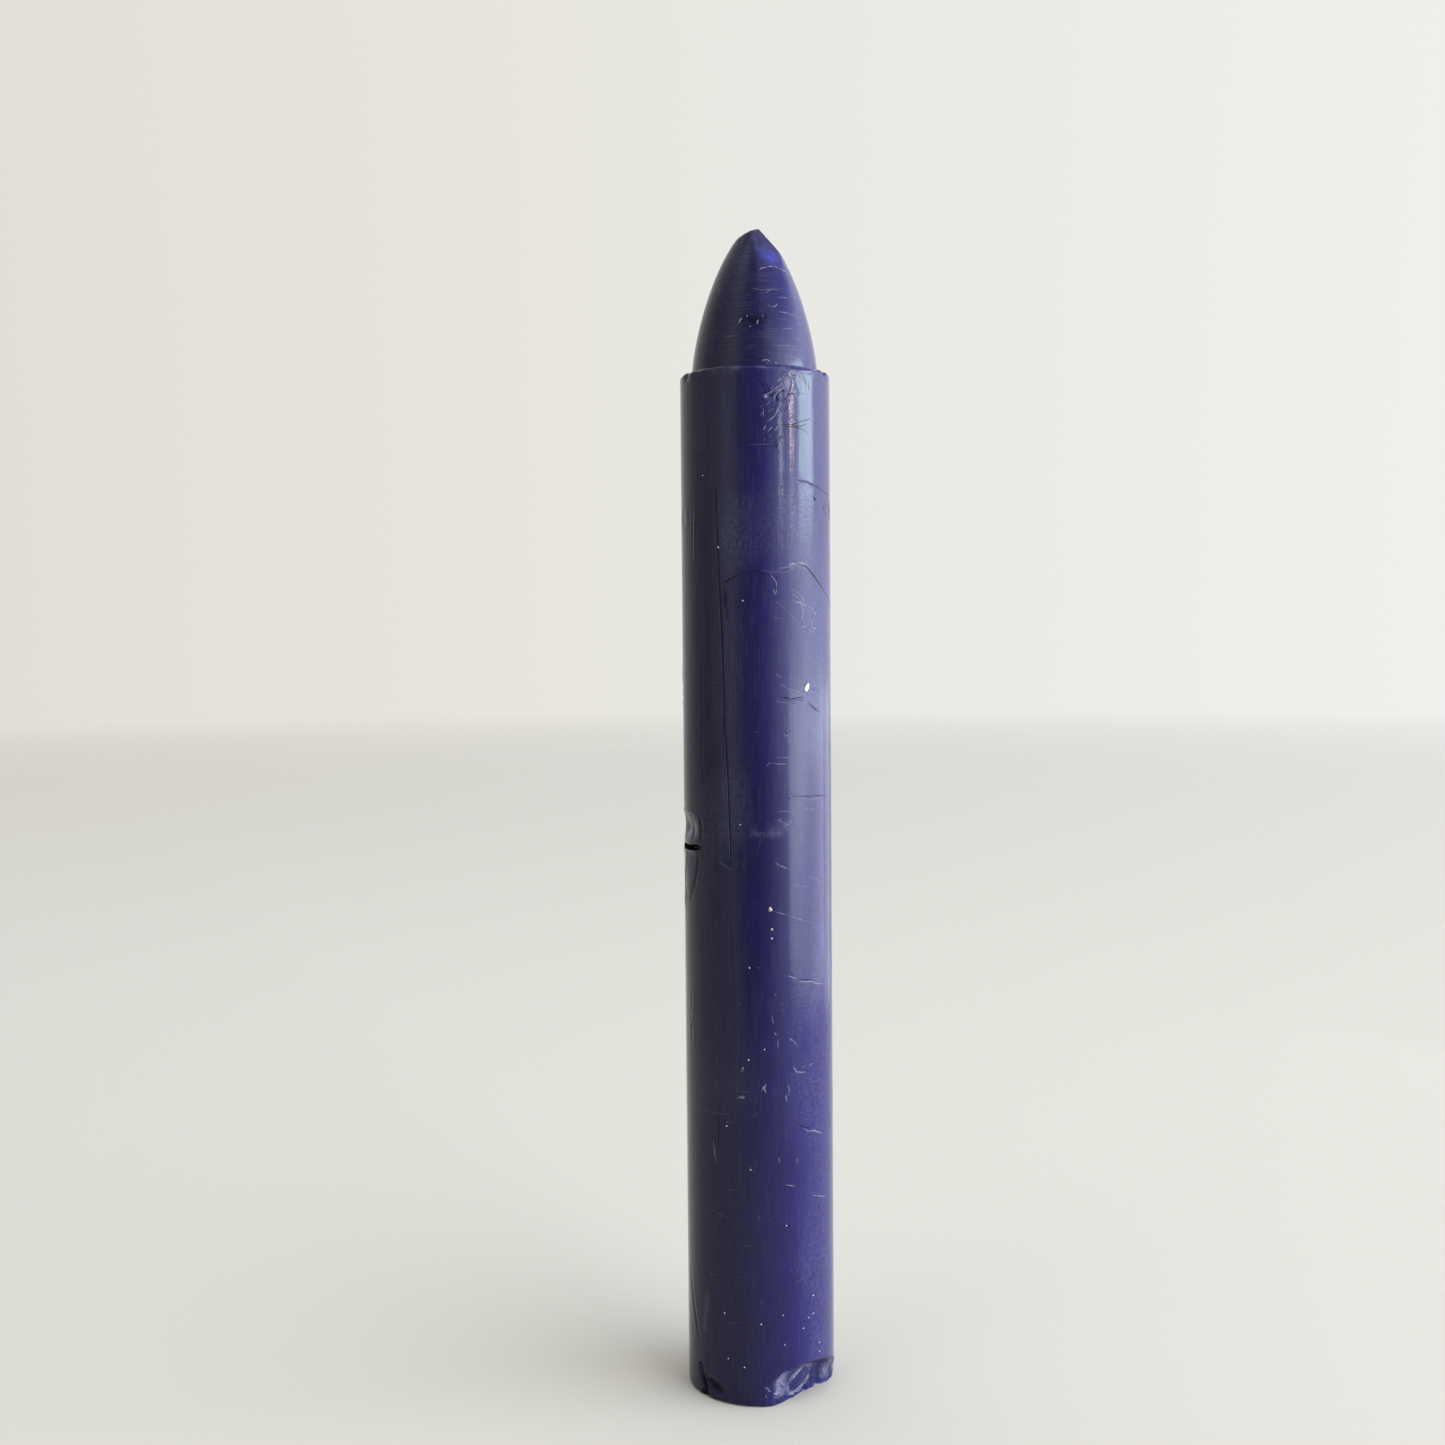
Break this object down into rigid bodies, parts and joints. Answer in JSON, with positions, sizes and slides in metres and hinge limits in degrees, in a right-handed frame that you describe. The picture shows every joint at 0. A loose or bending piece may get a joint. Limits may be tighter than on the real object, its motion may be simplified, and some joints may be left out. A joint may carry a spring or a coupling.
{
  "type": "crayon",
  "caption": "Thick bare wax crayon with a bullet nose, a narrow ledge, a straight round barrel and a flat chipped foot; it stands upright.",
  "frame": {"origin": "middle of the flat base that the crayon stands on", "axes": "+Z along the stick from base to tip; -Y is the front, with the larger foot chip towards +X"},
  "size_m": [0.0116, 0.0116, 0.0898],
  "materials": {
    "blue_violet_wax": "semi-gloss pigmented wax, handled, with matte scuffs, fine scratches and brighter raw wax where it is broken",
    "stuck_crumb": "matte specks of dust, paper fibre and pale wax stuck to the stick"
  },
  "bodies": {
    "root": {"wax_stick": "blue_violet_wax"}
  },
  "joints": []
}
